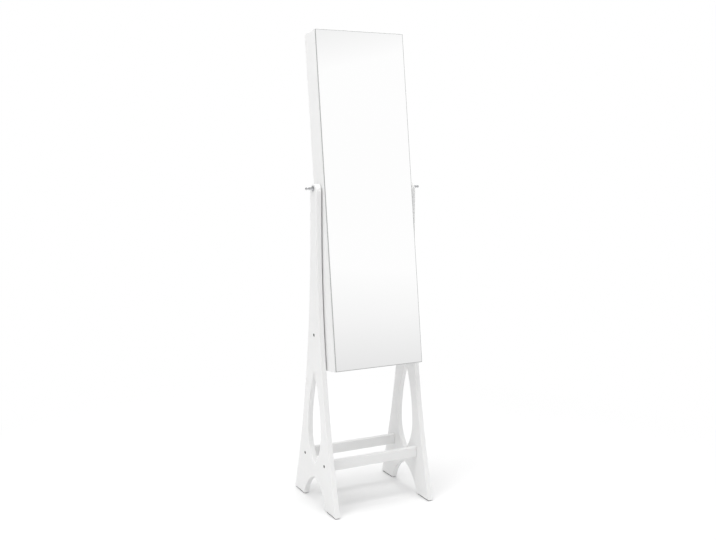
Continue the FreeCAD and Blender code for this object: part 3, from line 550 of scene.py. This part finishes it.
def fittings():
    turned_piece("necklace_pegs", PEG, along_y("necklace_pegs", (0.0, -1.0, 0.0), False))
    turned_piece("hinge_screws_cabinet", SCREW, along_y("hinge_screws_cabinet", (0.0, 1.0, 0.0), True))
    turned_piece("hinge_screws_door", SCREW, along_y("hinge_screws_door", (0.0, -1.0, 0.0), False))
    turned_piece("strike_screws", SCREW, along_y("strike_screws", (0.0, -1.0, 0.0), False))
    pins = []
    for low, high in solids("hinge_pins", LEAN):
        middle = (low + high) / 2.0
        pins.append(LEAN @ aimed((middle.x, middle.y, low.z), (0.0, 0.0, 1.0)))
    turned_piece("hinge_pins", PIN, pins)
    holders = []
    for low, high in solids("bracelet_brackets", LEAN):
        middle = (low + high) / 2.0
        inward = 1.0 if middle.x < 0.0 else -1.0
        start = low.x if inward > 0.0 else high.x
        holders.append(LEAN @ aimed((start, middle.y, middle.z), (inward, 0.0, 0.0)))
    turned_piece("bracelet_brackets", BRACKET, holders, ring=True)


def bracelet_roll():
    """A velvet-wrapped rod: the wrap's edges are turned in at both ends and its lap runs along it."""
    low, high = solids("bracelet_bar", LEAN)[0]
    length = (high.x - low.x) / MM
    full = (high.z - low.z) / MM / 2.0
    middle = (low + high) / 2.0

    def lapped(angle):
        return 1.0 - 0.03 * max(0.0, 1.0 - abs(angle - 3.4) / 0.12)

    profile = [(0.0, 0.0), (0.0, full * 0.86), (0.5, full * 0.95), (1.4, full * 0.995, lapped)]
    profile += [(9.0 + (length - 18.0) * n / 24.0, full * (0.985 + 0.012 * math.sin(n * 2.1)), lapped)
                for n in range(25)]
    profile += [(length - 1.4, full * 0.995, lapped), (length - 0.5, full * 0.95), (length, full * 0.86),
                (length, 0.0)]
    turned_piece("bracelet_bar", profile, [LEAN @ aimed((low.x, middle.y, middle.z), (1.0, 0.0, 0.0))],
                 steps=72, angle=50.0)


# ---------------------------------------------------------------- mirror

MIRROR_BEVEL = 1.8 * MM
BEVEL_DEPTH = 0.6 * MM


def mirror():
    """Silvered float glass with a ground and polished bevel all round."""
    low, high = solids("mirror_glass", LEAN)[0]
    bm = bmesh.new()

    def loop(inset, y):
        corners = ((low.x + inset, low.z + inset), (high.x - inset, low.z + inset),
                   (high.x - inset, high.z - inset), (low.x + inset, high.z - inset))
        return [bm.verts.new(LEAN @ Vector((x, y, z))) for x, z in corners]

    loops = [loop(MIRROR_BEVEL, low.y), loop(0.0, low.y + BEVEL_DEPTH), loop(0.0, high.y)]
    bm.faces.new(loops[0]).material_index = 0
    bm.faces.new(loops[2]).material_index = 1
    for first, second in zip(loops, loops[1:]):
        for number in range(4):
            after = (number + 1) % 4
            rim = bm.faces.new((first[number], first[after], second[after], second[number]))
            rim.material_index = 1
    bmesh.ops.recalc_face_normals(bm, faces=bm.faces)
    finish_piece(object_from(bm, "mirror_pane"), "mirror_glass", ("mirror_glass", "mirror_rim"))


# ---------------------------------------------------------------- ring cushions

CUSHION_START = 0.93
CUSHION_CAP = 1.1 * MM
CUSHION_VOXEL = 3.0 * MM
CUSHION_FRAMES = 14
CUSHION_STATIONS = 28
CUSHION_STEPS = 20
CUSHION_LENGTH = 0.985
CUSHION_END_DRAW = 0.22
DENT_DEPTH = 0.012


def cushion_blank(low, high):
    """A roll a little smaller than its space: flat at the back, round in front, drawn in at the ends."""
    bm = bmesh.new()
    half = (high.x - low.x) / 2.0
    depth = high.y - low.y
    height = high.z - low.z
    back = depth / 2.0
    rings = []
    for number in range(CUSHION_STATIONS + 1):
        share = 2.0 * number / CUSHION_STATIONS - 1.0
        x = half * CUSHION_LENGTH * share
        draw = CUSHION_START * (1.0 - CUSHION_END_DRAW * abs(share) ** 14)
        points = []
        for step in range(CUSHION_STEPS):
            angle = 2.0 * math.pi * step / CUSHION_STEPS
            y = math.cos(angle)
            z = math.sin(angle)
            squareness = 0.62 if y > 0.0 else 0.9
            y = math.copysign(abs(y) ** squareness, y)
            z = math.copysign(abs(z) ** 0.72, z)
            points.append(Vector((x, y * back * draw, z * height / 2.0 * draw)))
        rings.append([bm.verts.new(point) for point in points])
    for first, second in zip(rings, rings[1:]):
        for step in range(CUSHION_STEPS):
            after = (step + 1) % CUSHION_STEPS
            bm.faces.new((first[step], first[after], second[after], second[step]))
    bm.faces.new(rings[0])
    bm.faces.new(rings[-1])
    bmesh.ops.recalc_face_normals(bm, faces=bm.faces)
    return object_from(bm, "cushion_blank")


def baked(obj):
    """Replaces an object's mesh by what its modifiers make of it."""
    graph = bpy.context.evaluated_depsgraph_get()
    graph.update()
    mesh = bpy.data.meshes.new_from_object(obj.evaluated_get(graph))
    obj.modifiers.clear()
    obj.data = mesh
    return mesh


def swollen(blank, half_depth, half_height):
    """Blows the roll up as cloth and keeps it within its space."""
    remesh = blank.modifiers.new("voxels", "REMESH")
    remesh.mode = "VOXEL"
    remesh.voxel_size = CUSHION_VOXEL
    baked(blank)
    rest = [vert.co.copy() for vert in blank.data.vertices]
    cloth = blank.modifiers.new("cloth", "CLOTH")
    cloth.settings.quality = 5
    cloth.settings.mass = 0.1
    cloth.settings.tension_stiffness = 12.0
    cloth.settings.compression_stiffness = 12.0
    cloth.settings.bending_stiffness = 0.4
    cloth.settings.use_pressure = True
    cloth.settings.uniform_pressure_force = 4.0
    cloth.settings.effector_weights.gravity = 0.0
    scene = bpy.context.scene
    for number in range(1, CUSHION_FRAMES + 1):
        scene.frame_set(number)
    baked(blank)
    scene.frame_set(1)
    for vert, start in zip(blank.data.vertices, rest):
        move = vert.co - start
        if move.length > CUSHION_CAP:
            move = move.normalized() * CUSHION_CAP
        point = start + move
        point.y = max(-half_depth, min(half_depth, point.y))
        point.z = max(-half_height, min(half_height, point.z))
        vert.co = point


def cushions():
    """Six velvet rolls from one swollen blank, each with its own slight dents in front."""
    spaces = sorted(solids("ring_cushions", LEAN), key=lambda space: space[0].z)
    low, high = spaces[0]
    blank = cushion_blank(low, high)
    half_depth = (high.y - low.y) / 2.0
    half_height = (high.z - low.z) / 2.0
    swollen(blank, half_depth, half_height)
    for number, (low, high) in enumerate(spaces):
        middle = (low + high) / 2.0
        mesh = blank.data.copy()
        for vert in mesh.vertices:
            along = vert.co.x * 60.0 + number * 1.9
            dent = 1.0 - DENT_DEPTH * (1.0 + math.sin(along) * math.cos(along * 0.37 + number))
            if vert.co.y < 0.0:
                vert.co.y *= dent
            vert.co = LEAN @ (vert.co + middle)
        mesh.polygons.foreach_set("use_smooth", [True] * len(mesh.polygons))
        obj = bpy.data.objects.new("ring_cushion_%d" % (number + 1), mesh)
        bpy.context.scene.collection.objects.link(obj)
        subdivide = obj.modifiers.new("soft", "SUBSURF")
        subdivide.levels = 1
        subdivide.render_levels = 1
        finish_piece(obj, "ring_cushions")
    bpy.data.objects.remove(blank)


# ---------------------------------------------------------------- assembly

def white_background(tree, strength):
    node = add(tree, "ShaderNodeBackground")
    node.inputs["Color"].default_value = WHITE
    node.inputs["Strength"].default_value = strength
    return node


def make_world():
    """White behind the object, an even soft light on it, and soft bands for glossy surfaces."""
    world = bpy.data.worlds.new("studio")
    bpy.context.scene.world = world
    world.use_nodes = True
    tree = world.node_tree
    tree.nodes.clear()
    ways = add(tree, "ShaderNodeLightPath")
    place = add(tree, "ShaderNodeTexCoord")
    split = add(tree, "ShaderNodeSeparateXYZ")
    tree.links.new(place.outputs["Generated"], split.inputs["Vector"])
    lift = mapped(tree, split.outputs["Z"], (-1.0, 1.0))
    bands = ramp(tree, lift, [(at, (tone, tone, tone)) for at, tone in GLOSS_BANDS])
    dimmest = GLOSS_STRENGTH - GLOSS_SLOPE * (1.0 + GLOSS_MIDDLE)
    brightest = GLOSS_STRENGTH + GLOSS_SLOPE * (1.0 - GLOSS_MIDDLE)
    sideways = mapped(tree, split.outputs["X"], (-1.0, 1.0), (dimmest, brightest))
    level = combined(tree, "MULTIPLY", bands, sideways, clamp=True)
    gloss = white_background(tree, 1.0)
    tree.links.new(level, gloss.inputs["Strength"])
    lit = mixed(tree, ways.outputs["Is Glossy Ray"],
                white_background(tree, WORLD_LIGHT).outputs["Background"], gloss.outputs["Background"])
    plain = combined(tree, "MAXIMUM", ways.outputs["Is Camera Ray"], ways.outputs["Is Transmission Ray"])
    shown = mixed(tree, plain, lit, white_background(tree, 1.0).outputs["Background"])
    output = add(tree, "ShaderNodeOutputWorld")
    tree.links.new(shown, output.inputs["Surface"])


def make_floor():
    """White paper: it takes the soft shadow near the feet and fades to plain white further off."""
    bm = bmesh.new()
    bmesh.ops.create_grid(bm, x_segments=8, y_segments=8, size=FLOOR_SIZE / 2)
    floor = object_from(bm, "floor")
    material, tree, paper = new_material("floor_paper")
    vector = coordinates(tree)
    tint = ramp(tree, noise(tree, vector, 0.6, 2.0),
                [(0.3, (FLOOR_TONE,) * 3), (0.7, (FLOOR_TONE + 0.01,) * 3)])
    tree.links.new(tint, paper.inputs["Base Color"])
    paper.inputs["Roughness"].default_value = 0.9
    paper.inputs["Specular IOR Level"].default_value = 0.0
    lit = add(tree, "ShaderNodeBsdfDiffuse")
    lit.inputs["Color"].default_value = (FLOOR_LIFT, FLOOR_LIFT, FLOOR_LIFT, 1.0)
    white = add(tree, "ShaderNodeEmission")
    white.inputs["Strength"].default_value = 1.0
    white.inputs["Color"].default_value = WHITE
    distance = add(tree, "ShaderNodeVectorMath", operation="LENGTH")
    tree.links.new(vector, distance.inputs[0])
    fade = mapped(tree, distance.outputs["Value"], (FLOOR_FADE_START, FLOOR_FADE_END), curve="SMOOTHSTEP")
    seen = mixed(tree, fade, lit.outputs["BSDF"], white.outputs["Emission"])
    ways = add(tree, "ShaderNodeLightPath")
    both = mixed(tree, ways.outputs["Is Camera Ray"], paper.outputs["BSDF"], seen)
    tree.links.new(both, tree.nodes["Material Output"].inputs["Surface"])
    floor.data.materials.append(material)


make_camera()
make_floor()
make_world()
make_lights()
boards()
bolts()
knobs()
fittings()
bracelet_roll()
mirror()
cushions()

for node, obj in NODES.items():
    if not obj.hide_render:
        obj.data.materials.clear()
        obj.data.materials.append(MATERIALS[SLOT_OF[node]])

scene = bpy.context.scene
scene.view_settings.view_transform = "Standard"
